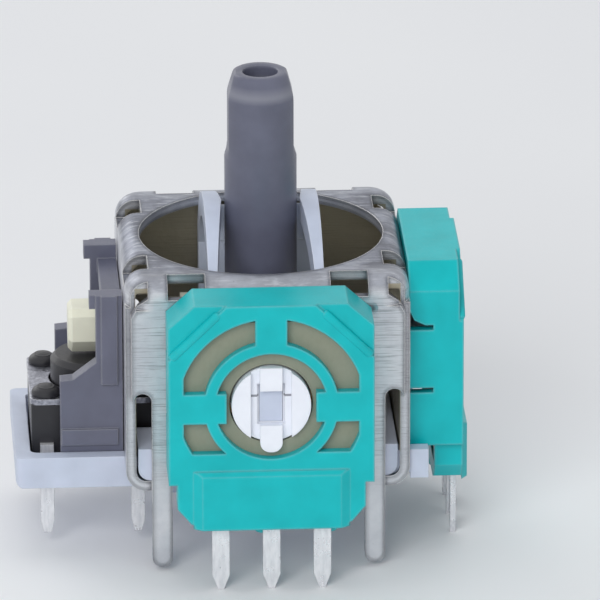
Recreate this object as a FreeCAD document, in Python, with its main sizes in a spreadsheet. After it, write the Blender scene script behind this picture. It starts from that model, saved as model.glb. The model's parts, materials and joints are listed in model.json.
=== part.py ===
"""Analog stick module of a game controller: a two-axis thumb stick with a push switch.

Millimetres. X runs to the right along the lower gimbal, Y to the back along the upper arch, Z up.
The origin is on the stick's axis, on the face of the circuit board that the module stands on.
"""
import FreeCAD, Part
import os
from collections import namedtuple

import Sketcher

# Driving dimensions: name, value, what it is
SIZES = [
    ("pivot_height", 6.35, "height of both tilt axes above the circuit board"),
    ("play", 0.1, "running clearance of a fit"),
    ("seat_gap", 0.05, "gap between pieces that are clipped together"),

    ("frame_size", 14.0, "outer width and depth of the sheet frame"),
    ("frame_height", 11.9, "top of the frame above the board"),
    ("sheet", 0.5, "thickness of the frame's sheet"),
    ("bend_radius", 1.0, "outer radius of the frame's bends"),
    ("top_opening", 12.1, "diameter of the round opening in the top"),
    ("tab_bottom", 0.8, "underside of the tabs folded under the base"),
    ("tab_reach", 1.8, "length of a folded tab"),
    ("bend_window_length", 1.85, "length of a window on a bend"),
    ("bend_window_place", 4.0, "middle of a bend window from the middle of its side"),
    ("bend_window_reach", 1.2, "reach of a bend window into the top"),
    ("bend_window_drop", 0.92, "reach of a bend window down the wall"),
    ("cap_depth", 1.45, "height of the frame's rounded upper rim"),
    ("cap_rounding", 1.35, "rounding of the rim's corners, seen from above"),
    ("seam_inset", 0.28, "distance of a wall's upright edge from the frame's side"),
    ("relief_inner", 5.9, "inner side of the relief opening at an upper corner"),
    ("relief_top", 0.85, "upper end of the relief opening's slope below the frame's top"),
    ("relief_middle", 6.4, "bend of the relief opening's slope"),
    ("relief_middle_drop", 1.25, "drop of that bend below the frame's top"),
    ("relief_bottom", 1.85, "lower end of the slope below the frame's top"),
    ("leg_place", 5.25, "middle of a frame leg from the middle of the frame"),
    ("leg_width", 1.0, "width of a frame leg"),
    ("leg_length", 3.05, "reach of a frame leg below the board's face"),
    ("leg_rounding", 0.45, "rounding of a frame leg's tip"),
    ("leg_slot_width", 0.9, "width of the slot beside a frame leg"),
    ("leg_slot_top", 6.1, "top of the slot beside a frame leg"),
    ("wall_bottom", 2.2, "lower edge of the front and back walls"),
    ("arm_opening", 1.76, "half the width of the left wall's opening for the gimbal's arm"),
    ("arm_opening_top", 8.2, "top of that opening"),

    ("base_bottom", 1.3, "underside of the base block"),
    ("base_top", 2.95, "top of the base block"),
    ("base_floor", 0.8, "floor of the spring well in the base"),
    ("well_radius", 4.5, "radius of the spring well"),
    ("foot_size", 9.6, "width of the base's foot that sits on the board"),
    ("tray_length", 12.4, "reach of the switch tray from the stick's axis"),
    ("tray_width", 9.7, "width of the switch tray"),
    ("tray_bottom", 0.4, "underside of the switch tray"),
    ("tray_floor", 1.0, "floor of the switch tray"),
    ("tray_rim", 2.0, "top of the switch tray's rim"),
    ("tray_wall", 0.75, "wall of the switch tray"),
    ("lug_reach", 0.95, "reach of a base lug through the right wall"),
    ("lug_top", 2.55, "top of a base lug"),
    ("lug_bottom", 1.35, "underside of a base lug inside the frame"),
    ("lug_foot", 1.05, "underside of a base lug outside the frame"),
    ("lug_width", 0.75, "width of a base lug"),
    ("lug_place", 5.82, "middle of a base lug from the middle of the frame"),

    ("pot_depth", 2.5, "depth of a housing up to its recessed corners"),
    ("pot_face_rise", 0.2, "height of the raised face on a housing"),
    ("pot_block_rise", 0.5, "height of the terminal block above the recessed corners"),
    ("pot_half_width", 5.05, "half the width of a housing"),
    ("pot_top", 11.6, "top of a housing"),
    ("pot_top_half", 3.75, "half the width of a housing's flat top"),
    ("pot_chamfer_drop", 1.17, "drop of the chamfer at a housing's top"),
    ("pot_shoulder", 2.3, "height of the step at a housing's foot"),
    ("pot_foot_half", 4.62, "half the width of a housing's foot"),
    ("pot_foot_chamfer", 1.05, "height of the chamfer at a housing's foot"),
    ("pot_foot_narrow", 3.95, "half the width at the lower end of that chamfer"),
    ("pot_sole_half", 3.3, "half the width of a housing's sole"),
    ("pot_sole_rise", 0.25, "height at which the sole starts to narrow"),
    ("pot_corner_half", 2.2, "half the width of the raised face at the top"),
    ("pot_corner_drop", 2.78, "drop of the raised face's diagonal edges"),
    ("pot_foot_back", 8.35, "back of a housing's foot from the stick's axis"),
    ("pot_wall", 0.55, "side wall of a housing"),
    ("ring_outer", 3.3, "outer radius of the ring round the rotor"),
    ("ring_inner", 2.75, "inner radius of the ring round the rotor"),
    ("window_radius", 4.57, "outer radius of the housing's windows"),
    ("window_half", 4.3, "half the width over the housing's windows"),
    ("window_bottom", 3.92, "lower edge of the lower windows"),
    ("spoke_width", 1.56, "width of the upright spoke"),
    ("side_spoke_top", 7.05, "upper edge of the side spokes"),
    ("side_spoke_bottom", 5.5, "lower edge of the side spokes"),
    ("side_spoke_inner", 2.2, "inner end of the side spokes"),
    ("block_half", 3.4, "half the width of the terminal block"),
    ("block_top", 3.0, "top of the terminal block"),
    ("block_flare", 0.45, "width of the terminal block's side slopes"),
    ("block_bevel", 0.2, "bevel of the terminal block's upper edge"),
    ("clip_top", 8.4, "upper slit of a housing's clip arm"),
    ("clip_bottom", 5.1, "lower slit of a housing's clip arm"),
    ("clip_slit", 0.25, "width of the slits beside a clip arm"),
    ("clip_reach", 1.2, "length of the slits beside a clip arm"),
    ("clip_corner", 0.8, "rounding of the wall's corner above a clip arm"),
    ("peg_radius", 0.42, "radius of a housing's locating peg"),
    ("peg_length", 0.5, "length of a housing's locating peg"),
    ("peg_depth", 8.78, "middle of the pegs from the stick's axis"),
    ("peg_place", 2.85, "place of the outer locating peg"),
    ("peg_inner_place", 0.35, "place of the inner locating peg"),

    ("track_depth", 2.2, "depth of a resistor board's front face in the housing"),
    ("track_thickness", 0.8, "thickness of a resistor board"),
    ("track_half", 4.35, "half the width of a resistor board"),
    ("track_top", 10.6, "top of a resistor board"),
    ("track_bottom", 1.15, "lower edge of a resistor board"),
    ("track_step", 2.4, "height below which a resistor board is narrower"),
    ("track_foot_half", 3.95, "half the width of a resistor board's foot"),
    ("pin_pitch", 2.5, "pitch of the potentiometer pins"),
    ("pin_width", 0.86, "width of a potentiometer pin"),
    ("pin_thickness", 0.3, "thickness of a potentiometer pin"),
    ("pin_top", 2.55, "top of a potentiometer pin"),
    ("pin_length", 3.3, "reach of a potentiometer pin below the board's face"),
    ("pin_point", 0.75, "length of a pin's point"),
    ("pin_point_width", 0.3, "width of a pin's end"),
    ("rivet_half", 0.25, "half the width of a terminal rivet"),
    ("rivet_height", 1.85, "height of a terminal rivet above the board"),

    ("rotor_radius", 1.95, "radius of a potentiometer rotor"),
    ("rotor_flange", 2.5, "radius of a rotor's inner flange"),
    ("wiper_room", 0.27, "gap between a rotor's flange and the resistor board"),
    ("rotor_length", 2.55, "front of a rotor in front of the housing's back"),
    ("rotor_groove", 2.0, "width of the groove across a rotor"),
    ("groove_depth", 0.3, "depth of the groove across a rotor"),
    ("tongue_width", 1.14, "width of the tongue that drives a rotor"),
    ("tongue_height", 1.9, "height of the tongue that drives a rotor"),
    ("latch_width", 1.1, "width of a rotor's latch tabs"),
    ("latch_overhang", 0.5, "reach of the lower latch tab beyond the rotor"),
    ("latch_inner", 0.75, "lower end of the upper latch tab above the axis"),
    ("latch_rounding", 0.5, "rounding of a latch tab's end"),
    ("wiper_radius", 3.7, "outer radius of a wiper"),
    ("wiper_width", 1.1, "width of a wiper's ring"),
    ("wiper_thickness", 0.12, "thickness of a wiper"),
    ("finger_width", 0.5, "width of a wiper's contact finger"),
    ("finger_rise", 0.12, "height of a wiper's contact"),

    ("shaft_radius", 1.8, "radius of the arch's and the gimbal's bearing shafts"),
    ("arch_radius", 7.28, "outer radius of the upper arch"),
    ("arch_thickness", 1.2, "thickness of the upper arch"),
    ("arch_half", 2.85, "half the width of the upper arch"),
    ("arch_slot", 3.9, "width of the slot in the upper arch, in its middle"),
    ("arch_slot_end", 4.8, "width of the slot at its ends"),
    ("arch_slot_length", 10.3, "length of the slot in the upper arch"),
    ("arch_reach", 6.3, "outer face of the arch's legs from the stick's axis"),
    ("arch_leg", 1.1, "thickness of the arch's legs"),
    ("arch_leg_top", 3.5, "height of an arch leg above the axis"),

    ("gimbal_half_length", 3.9, "half the length of the gimbal's cage"),
    ("gimbal_half_width", 3.0, "half the width of the gimbal's cage"),
    ("gimbal_half_height", 1.3, "half the height of the gimbal's cage"),
    ("cage_opening", 5.3, "length of the cage's opening for the stick"),
    ("cage_gap", 0.16, "side gap between the stick and the cage"),
    ("arm_radius", 1.3, "radius of the gimbal's left arm"),
    ("arm_half_width", 0.95, "half the width of the arm over the switch"),
    ("arm_rise", 1.3, "height of the arm's top above the axis"),
    ("keel_drop", 0.5, "drop of the arm's keel below the axis"),
    ("keel_half", 0.25, "half the width of the arm's keel"),
    ("keel_start", 6.55, "inner end of the keel from the stick's axis"),
    ("head_inner", 7.95, "inner face of the gimbal's pressing head"),
    ("head_outer", 9.62, "outer face of the gimbal's pressing head"),
    ("head_half", 1.05, "half the width of the pressing head"),
    ("head_rise", 1.95, "height of the pressing head above the axis"),
    ("head_rounding", 0.35, "slope at the pressing head's upper edges"),
    ("head_edge", 0.2, "bevel of the pressing head's outer face"),

    ("stick_radius", 1.79, "radius of the stick"),
    ("stick_top", 20.35, "top of the stick"),
    ("stick_flats", 3.22, "width over the stick's flats"),
    ("flats_start", 15.95, "lower end of the stick's flats"),
    ("stick_chamfer", 0.42, "rounding at the stick's top"),
    ("stick_hole", 1.7, "diameter of the hole in the stick's top"),
    ("stick_hole_depth", 3.0, "depth of the hole in the stick's top"),
    ("stick_tail", 2.5, "reach of the stick below its pivot"),
    ("tail_rounding", 0.9, "bevel of the stick's lower end"),
    ("trunnion_radius", 0.8, "radius of the stick's trunnions"),
    ("trunnion_reach", 2.9, "reach of the trunnions from the stick's axis"),

    ("spring_seat_radius", 4.2, "radius of the spring seat"),
    ("spring_seat_thickness", 0.6, "thickness of the spring seat"),
    ("hub_radius", 1.75, "radius of the spring seat's hub"),
    ("hub_height", 2.1, "height of the spring seat's hub"),
    ("hub_bore", 2.2, "bore of the spring seat's hub"),
    ("spring_wire", 0.45, "diameter of the return spring's wire"),
    ("spring_radius", 2.3, "mean radius of the return spring"),
    ("spring_half_turns", 6.0, "half turns of the return spring"),

    ("switch_place", 8.55, "middle of the push switch from the stick's axis"),
    ("switch_size", 6.0, "width and depth of the push switch"),
    ("switch_top", 4.4, "top of the switch's cover"),
    ("cover_thickness", 0.3, "thickness of the switch's cover"),
    ("cover_overhang", 0.05, "reach of the switch's cover beyond its body"),
    ("cover_rounding", 0.4, "rounding of the cover's corners"),
    ("stake_place", 2.25, "place of the stakes from the switch's middle"),
    ("stake_radius", 0.7, "radius of a stake's head"),
    ("stake_neck", 0.45, "radius of a stake's neck"),
    ("stake_height", 0.45, "height of a stake's head"),
    ("stake_bevel", 0.28, "bevel of a stake's head"),
    ("plunger_radius", 1.95, "radius of the switch's plunger"),
    ("plunger_flange", 2.2, "radius of the plunger's flange"),
    ("flange_height", 0.5, "height of the plunger's flange"),
    ("plunger_top", 5.7, "top of the plunger"),
    ("plunger_edge", 0.25, "bevel of the plunger's top"),
    ("plunger_travel", 0.25, "travel of the plunger"),
    ("nib_radius", 0.8, "radius of the nib under the plunger"),
    ("dome_radius", 2.1, "radius of the switch's contact dome"),
    ("dome_crown", 1.0, "radius of the dome's flat crown"),
    ("dome_slope", 0.35, "sideways thickness of the dome's sloping rim"),
    ("dome_height", 0.45, "height of the switch's contact dome"),
    ("dome_sheet", 0.12, "thickness of the switch's contact dome"),
    ("switch_well", 2.35, "radius of the well in the switch's body"),
    ("well_floor", 2.3, "floor of the well in the switch's body"),
    ("lead_place", 2.25, "place of a switch lead from the switch's middle"),
    ("lead_width", 0.68, "width of a switch lead"),
    ("lead_thickness", 0.3, "thickness of a switch lead"),
    ("lead_top", 2.1, "top of a switch lead"),
    ("lead_length", 2.58, "reach of a switch lead below the board's face"),
    ("lead_taper", 0.6, "length of a switch lead's tapered end"),
    ("lead_end_width", 0.36, "width of a switch lead's end"),

    ("bracket_plate", 0.5, "thickness of the side bracket's plate"),
    ("bracket_half", 4.05, "half the width of the side bracket"),
    ("bracket_bottom", 5.05, "lower edge of the bracket's plate"),
    ("bracket_top", 10.2, "top of the bracket's uprights"),
    ("bracket_opening", 2.5, "half the width of the bracket's opening"),
    ("beam_bottom", 8.75, "underside of the bracket's beam"),
    ("beam_top", 9.47, "top of the bracket's beam"),
    ("beam_reach", 8.0, "outer face of the beam from the stick's axis"),
    ("cheek_reach", 10.15, "reach of a bracket cheek from the stick's axis"),
    ("cheek_thickness", 0.85, "thickness of a bracket cheek"),
    ("cheek_low", 5.73, "height of a cheek's outer corner"),
    ("cheek_bend", 9.5, "reach of the cheek's upper bend from the stick's axis"),
    ("cheek_bend_height", 5.8, "height of the cheek's upper bend"),
    ("cheek_high", 6.67, "height of a cheek's inner corner"),
    ("upright_reach", 8.36, "outer face of an upright from the stick's axis"),
    ("ledge_low", 2.37, "underside of the ledge along a cheek"),
    ("ledge_high", 3.2, "top of the ledge along a cheek"),
    ("ledge_step", 0.15, "step between the ledge or a rib and the cheek"),
    ("rib_inner", 7.3, "inner end of a rib or ledge from the stick's axis"),
    ("rib_reach", 8.1, "outer face of a bracket rib from the stick's axis"),
    ("rib_bottom", 5.54, "lower end of a bracket rib"),
    ("hook_reach", 8.68, "outer face of a bracket hook from the stick's axis"),
    ("hook_step", 0.1, "step between a hook and the cheek's side"),
]

LIMIT = 1e-4    # tolerance when edges are picked by their place
OUTPUT = "parts"
FULL_TURN = 360.0
WIRE_SIDES = 6

Disc = namedtuple("Disc", "x y radius")


class Size:
    """A length, and the spreadsheet expression that gives it."""

    def __init__(self, value, text):
        self.value = value
        self.text = text

    def __add__(self, other):
        other = as_size(other)
        return Size(self.value + other.value, f"({self.text} + {other.text})")

    def __sub__(self, other):
        other = as_size(other)
        return Size(self.value - other.value, f"({self.text} - {other.text})")

    def __mul__(self, other):
        other = as_size(other)
        return Size(self.value * other.value, f"({self.text} * {other.text})")

    def __truediv__(self, other):
        other = as_size(other)
        return Size(self.value / other.value, f"({self.text} / {other.text})")

    def __neg__(self):
        return Size(-self.value, f"(0 - {self.text})")


def as_size(number):
    """A plain number as a Size."""
    if isinstance(number, Size):
        return number
    return Size(float(number), repr(float(number)))


class Values:
    """The driving dimensions by name, each a Size bound to its spreadsheet cell."""


ZERO = as_size(0)


def make_sheet(doc):
    """Writes the driving dimensions into a spreadsheet and returns them by name."""
    sheet = doc.addObject("Spreadsheet::Sheet", "Values")
    values = Values()
    for row, (name, value, note) in enumerate(SIZES, start=1):
        sheet.set(f"A{row}", name)
        sheet.set(f"B{row}", str(value))
        sheet.set(f"C{row}", note)
        sheet.setAlias(f"B{row}", name)
        setattr(values, name, Size(value, f"Values.{name}"))
    doc.recompute()
    return values


def rect(left, right, low, high):
    """A rectangle as four corners."""
    return [(left, low), (right, low), (right, high), (left, high)]


def both_ways(points):
    """The points and their mirror image in the upright axis, as one closed outline."""
    mirrored = [(-x, y) for x, y in reversed(points)]
    return points + mirrored


def pin_point(sketch, geometry, position, x, y):
    """Ties a point of a sketch to the spreadsheet in both directions."""
    axis_line = {"DistanceX": -2, "DistanceY": -1}
    for kind, size in (("DistanceX", x), ("DistanceY", y)):
        if size is ZERO:
            sketch.addConstraint(Sketcher.Constraint("PointOnObject", geometry, position, axis_line[kind]))
            continue
        if size.value < 0:
            index = sketch.addConstraint(Sketcher.Constraint(kind, geometry, position, -1, 1, -size.value))
            text = f"0 - {size.text}"
        else:
            index = sketch.addConstraint(Sketcher.Constraint(kind, -1, 1, geometry, position, size.value))
            text = size.text
        sketch.setExpression(f"Constraints[{index}]", text)


def add_disc(sketch, disc):
    """Draws a circle in a sketch and ties its centre and radius."""
    centre = FreeCAD.Vector(disc.x.value, disc.y.value, 0)
    circle = sketch.addGeometry(Part.Circle(centre, FreeCAD.Vector(0, 0, 1), disc.radius.value))
    index = sketch.addConstraint(Sketcher.Constraint("Radius", circle, disc.radius.value))
    sketch.setExpression(f"Constraints[{index}]", disc.radius.text)
    pin_point(sketch, circle, 3, disc.x, disc.y)


def add_outline(sketch, points):
    """Draws a closed outline of straight lines in a sketch and ties every corner."""
    corners = [FreeCAD.Vector(x.value, y.value, 0) for x, y in points]
    first = sketch.GeometryCount
    count = len(points)
    for index in range(count):
        sketch.addGeometry(Part.LineSegment(corners[index], corners[(index + 1) % count]))
    for index in range(count):
        line = first + index
        following = first + (index + 1) % count
        sketch.addConstraint(Sketcher.Constraint("Coincident", line, 2, following, 1))
    for index, (x, y) in enumerate(points):
        pin_point(sketch, first + index, 1, x, y)


def new_body(doc, label):
    """A body for one piece, which may hold several like solids."""
    body = doc.addObject("PartDesign::Body", label)
    body.Label = label
    body.AllowCompound = True
    return body


def new_sketch(body, name, plane, height, loops):
    """A sketch parallel to one of the body's origin planes, at a height along its normal."""
    sketch = body.newObject("Sketcher::SketchObject", name)
    support = [item for item in body.Origin.OriginFeatures if item.Role == plane][0]
    sketch.AttachmentSupport = [(support, "")]
    sketch.MapMode = "FlatFace"
    sketch.AttachmentOffset = FreeCAD.Placement(FreeCAD.Vector(0, 0, height.value), FreeCAD.Rotation())
    sketch.setExpression("AttachmentOffset.Base.z", height.text)
    for loop in loops:
        if isinstance(loop, Disc):
            add_disc(sketch, loop)
        else:
            add_outline(sketch, loop)
    return sketch


def add_solid(body, name, plane, start, end, loops):
    """Pads the loops from one height to another along the plane's normal."""
    sketch = new_sketch(body, name + "Sketch", plane, start, loops)
    feature = body.newObject("PartDesign::Pad", name)
    feature.Profile = sketch
    length = end - start
    feature.Length = length.value
    feature.setExpression("Length", length.text)
    body.Tip = feature
    body.Document.recompute()
    return feature


def cut_away(body, name, plane, start, end, loops):
    """Pockets the loops between two heights along the plane's normal."""
    before = body.Shape.Volume
    sketch = new_sketch(body, name + "Sketch", plane, end, loops)
    feature = body.newObject("PartDesign::Pocket", name)
    feature.Profile = sketch
    length = end - start
    feature.Length = length.value
    feature.setExpression("Length", length.text)
    body.Tip = feature
    body.Document.recompute()
    if not body.Shape.Volume < before:
        raise ValueError(f"{body.Label}: {name} removes nothing")
    return feature


def edges_at(shape, x=None, y=None, z=None):
    """Names of the edges whose ends all lie at the given coordinates."""
    wanted = [(0, x), (1, y), (2, z)]
    names = []
    for number, edge in enumerate(shape.Edges, start=1):
        ends = [vertex.Point for vertex in edge.Vertexes]
        fits = all(abs(abs(end[axis]) - abs(size.value)) < LIMIT and end[axis] * size.value >= 0
                   for axis, size in wanted if size is not None for end in ends)
        if fits:
            names.append(f"Edge{number}")
    return names


def round_edges(body, name, edges, radius):
    """Rounds the named edges of the body's last feature."""
    base = body.Tip
    feature = body.newObject("PartDesign::Fillet", name)
    feature.Base = (base, edges)
    feature.Radius = radius.value
    feature.setExpression("Radius", radius.text)
    body.Tip = feature
    body.Document.recompute()
    return feature


def bevel_edges(body, name, edges, size):
    """Bevels the named edges of the body's last feature."""
    base = body.Tip
    feature = body.newObject("PartDesign::Chamfer", name)
    feature.Base = (base, edges)
    feature.Size = size.value
    feature.setExpression("Size", size.text)
    body.Tip = feature
    body.Document.recompute()
    return feature


def upright_edges(shape, x, y):
    """Names of the upright edges at plus or minus x and plus or minus y."""
    names = []
    for side in (x, -x):
        for end in (y, -y):
            names += edges_at(shape, x=side, y=end)
    return names


def make_frame(doc, v):
    """The folded sheet frame: a box open below, with its opening, windows, slots, legs and tabs."""
    body = new_body(doc, "frame_cover")
    half = v.frame_size / 2
    inner = half - v.sheet
    cap_bottom = v.frame_height - v.cap_depth
    shell_bottom = v.tab_bottom
    outline = rect(-half, half, -half, half)
    add_solid(body, "Cap", "XY_Plane", cap_bottom, v.frame_height, [outline])
    round_edges(body, "CapCorners", upright_edges(body.Shape, half, half), v.cap_rounding)
    round_edges(body, "TopBends", edges_at(body.Shape, z=v.frame_height), v.bend_radius)
    add_solid(body, "Walls", "XY_Plane", shell_bottom, cap_bottom, [outline])
    shape = body.Shape
    bends = edges_at(shape, x=half, z=shell_bottom) + edges_at(shape, x=-half, z=shell_bottom)
    round_edges(body, "LowerBends", bends, v.bend_radius)

    cavity_bottom = shell_bottom + v.sheet
    ceiling = v.frame_height - v.sheet
    cut_away(body, "Mouth", "XY_Plane", shell_bottom - v.sheet, cavity_bottom,
             [rect(v.tab_reach - half, half - v.tab_reach, -inner, inner)])
    cavity = body.newObject("PartDesign::Pocket", "Cavity")
    cavity.Profile = new_sketch(body, "CavitySketch", "XY_Plane", cavity_bottom,
                                [rect(-inner, inner, -inner, inner)])
    cavity.Reversed = True
    depth = ceiling - cavity_bottom
    cavity.Length = depth.value
    cavity.setExpression("Length", depth.text)
    body.Tip = cavity
    doc.recompute()
    shape = body.Shape
    inside = edges_at(shape, z=ceiling)
    for side in (inner, -inner):
        inside += edges_at(shape, x=side, z=cavity_bottom)
    round_edges(body, "InnerBends", inside, v.bend_radius - v.sheet)

    cut_wall_feet(body, v, half)
    add_legs(body, v, half)
    cut_bearings(body, v, half)
    cut_away(body, "TopOpening", "XY_Plane", ceiling - v.sheet, v.frame_height + v.sheet,
             [Disc(ZERO, ZERO, v.top_opening / 2)])
    cut_corners(body, v, half)
    cut_bend_windows(body, v, half)
    return body


def repeat_round(body, name, feature, count):
    """Repeats a feature round the body's upright axis."""
    pattern = body.newObject("PartDesign::PolarPattern", name)
    pattern.Originals = [feature]
    upright = [item for item in body.Origin.OriginFeatures if item.Role == "Z_Axis"][0]
    pattern.Axis = (upright, [""])
    pattern.Angle = FULL_TURN
    pattern.Occurrences = count
    body.Tip = pattern
    body.Document.recompute()
    return pattern


def cut_bend_windows(body, v, half):
    """Two windows over the bend on each of the four sides."""
    near = half - v.bend_window_reach
    far = half + v.sheet
    low = v.bend_window_place - v.bend_window_length / 2
    high = v.bend_window_place + v.bend_window_length / 2
    windows = [rect(low, high, near, far), rect(-high, -low, near, far)]
    pocket = cut_away(body, "BendWindows", "XY_Plane", v.frame_height - v.bend_window_drop,
                      v.frame_height + v.sheet, windows)
    repeat_round(body, "AllBendWindows", pocket, 4)


def cut_corners(body, v, half):
    """The open seam at each corner, and the relief opening above it."""
    wall_end = half - v.seam_inset
    beyond = half + v.sheet
    seams = []
    for x in ((wall_end, beyond), (-beyond, -wall_end)):
        for y in ((half - v.sheet, beyond), (-beyond, v.sheet - half)):
            seams.append(rect(x[0], x[1], y[0], y[1]))
    cut_away(body, "Seams", "XY_Plane", v.tab_bottom - v.sheet, v.frame_height - v.cap_depth, seams)
    top = v.frame_height + v.sheet
    relief = [(wall_end, v.frame_height - v.relief_bottom), (wall_end, top), (v.relief_inner, top),
              (v.relief_inner, v.frame_height - v.relief_top),
              (v.relief_middle, v.frame_height - v.relief_middle_drop)]
    mirrored = [(-x, z) for x, z in relief]
    back = half - v.sheet - v.play / 2
    cut_away(body, "FrontReliefs", "XZ_Plane", back, beyond, [relief, mirrored])
    cut_away(body, "BackReliefs", "XZ_Plane", -beyond, -back, [relief, mirrored])


def cut_wall_feet(body, v, half):
    """Shortens the front and back walls, and opens the slots beside the legs and the holes for the lugs."""
    slot_inner = v.leg_place + v.leg_width / 2
    beyond = half + v.sheet
    below = v.tab_bottom - v.sheet
    round_centre = v.leg_slot_top - v.leg_slot_width / 2
    middle = slot_inner + v.leg_slot_width / 2
    feet = [rect(-beyond, beyond, below, v.wall_bottom)]
    slots = [rect(slot_inner, beyond, below, round_centre), rect(-beyond, -slot_inner, below, round_centre)]
    ends = [Disc(middle, round_centre, v.leg_slot_width / 2),
            Disc(-middle, round_centre, v.leg_slot_width / 2)]
    for name, start, end in (("Front", half - v.sheet, beyond), ("Back", -beyond, v.sheet - half)):
        cut_away(body, name + "Foot", "XZ_Plane", start, end, feet)
        cut_away(body, name + "Slots", "XZ_Plane", start, end, slots)
        cut_away(body, name + "SlotEnds", "XZ_Plane", start, end, ends)
    near = v.lug_place - v.lug_width / 2 - v.play
    far = v.lug_place + v.lug_width / 2 + v.play
    low = v.lug_bottom - v.play
    high = v.lug_top + v.play
    cut_away(body, "LugOpenings", "YZ_Plane", half - v.tab_reach, beyond,
             [rect(near, far, low, high), rect(-far, -near, low, high)])


def add_legs(body, v, half):
    """Four solder legs with rounded tips, two in the front wall and two in the back wall."""
    inner = v.leg_place - v.leg_width / 2
    outer = v.leg_place + v.leg_width / 2
    tip = -v.leg_length
    top = v.wall_bottom + v.sheet
    outlines = [rect(inner, outer, tip, top), rect(-outer, -inner, tip, top)]
    add_solid(body, "FrontLegs", "XZ_Plane", half - v.sheet, half, outlines)
    add_solid(body, "BackLegs", "XZ_Plane", -half, v.sheet - half, outlines)
    shape = body.Shape
    corners = []
    for x in (inner, outer, -inner, -outer):
        corners += edges_at(shape, x=x, z=tip)
    round_edges(body, "LegTips", corners, v.leg_rounding)


def cut_bearings(body, v, half):
    """The bearing holes in three walls, and the openings for the switch and the gimbal's arm."""
    bearing = [Disc(ZERO, v.pivot_height, v.shaft_radius + v.play)]
    cut_away(body, "ArchBearings", "XZ_Plane", -half - v.sheet, half + v.sheet, bearing)
    cut_away(body, "RightBearing", "YZ_Plane", half - v.sheet, half + v.sheet, bearing)
    below = v.tab_bottom - v.sheet
    tray = v.tray_width / 2 + v.play
    switch = v.switch_size / 2 + v.lead_thickness + v.play
    stake_top = v.switch_top + v.stake_height + v.play
    for name, opening in (("TrayOpening", rect(-tray, tray, below, v.tray_rim + v.play)),
                          ("SwitchOpening", rect(-switch, switch, v.tray_rim, stake_top)),
                          ("ArmOpening", rect(-v.arm_opening, v.arm_opening, stake_top - v.play,
                                              v.arm_opening_top))):
        cut_away(body, name, "YZ_Plane", -half - v.sheet, v.tab_reach - half, [opening])


def make_base(doc, v):
    """The plastic base: block with the spring well, foot, lugs and the tray for the push switch."""
    body = new_body(doc, "base_tray")
    half = v.frame_size / 2 - v.sheet - v.play
    foot = v.foot_size / 2
    add_solid(body, "Block", "XY_Plane", v.base_bottom, v.base_top, [rect(-half, half, -half, half)])
    lower = edges_at(body.Shape, x=half, z=v.base_bottom) + edges_at(body.Shape, x=-half, z=v.base_bottom)
    round_edges(body, "LowerEdges", lower, v.bend_radius - v.sheet + v.play)
    add_solid(body, "Foot", "XY_Plane", ZERO, v.base_bottom, [rect(-foot, foot, -foot, foot)])
    tray = v.tray_width / 2
    add_solid(body, "Tray", "XY_Plane", v.tray_bottom, v.tray_rim,
              [rect(-v.tray_length, v.tray_wall - half, -tray, tray)])
    corners = edges_at(body.Shape, x=-v.tray_length, z=v.tray_bottom)
    for y in (tray, -tray):
        corners += edges_at(body.Shape, x=-v.tray_length, y=y)
    round_edges(body, "TrayCorners", corners, v.tray_wall / 2)
    lug_near = v.lug_place - v.lug_width / 2
    lug_far = v.lug_place + v.lug_width / 2
    outside = v.frame_size / 2 + v.seat_gap
    reach = v.frame_size / 2 + v.lug_reach
    root = half - v.bend_radius
    add_solid(body, "Lugs", "XY_Plane", v.lug_bottom, v.lug_top,
              [rect(root, reach, lug_near, lug_far), rect(root, reach, -lug_far, -lug_near)])
    add_solid(body, "LugFeet", "XY_Plane", v.lug_foot, v.lug_bottom,
              [rect(outside, reach, lug_near, lug_far), rect(outside, reach, -lug_far, -lug_near)])

    inside = tray - v.tray_wall
    recess_side = v.switch_size / 2 + v.lead_thickness + v.play
    recess_end = v.switch_place - v.switch_size / 2 - v.play
    inner_end = v.tray_length - v.tray_wall
    cut_away(body, "TrayInside", "XY_Plane", v.tray_floor, v.base_top,
             [rect(-inner_end, -v.frame_size / 2, -inside, inside)])
    corners = edges_at(body.Shape, x=-inner_end, y=inside) + edges_at(body.Shape, x=-inner_end, y=-inside)
    round_edges(body, "TrayInnerCorners", corners, v.tray_wall / 2)
    cut_away(body, "SwitchRecess", "XY_Plane", v.tray_floor, v.base_top + v.sheet,
             [rect(-half - v.bend_radius, -recess_end, -recess_side, recess_side)])
    cut_away(body, "SpringWell", "XY_Plane", v.base_floor, v.base_top + v.sheet,
             [Disc(ZERO, ZERO, v.well_radius)])
    holes = []
    for x in (-v.switch_place - v.lead_place, v.lead_place - v.switch_place):
        for side in (v.switch_size / 2 + v.lead_thickness / 2, -v.switch_size / 2 - v.lead_thickness / 2):
            holes.append(rect(x - v.lead_width / 2 - v.play, x + v.lead_width / 2 + v.play,
                              side - v.lead_thickness / 2 - v.play, side + v.lead_thickness / 2 + v.play))
    cut_away(body, "LeadHoles", "XY_Plane", ZERO, v.tray_floor + v.play, holes)
    return body


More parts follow.
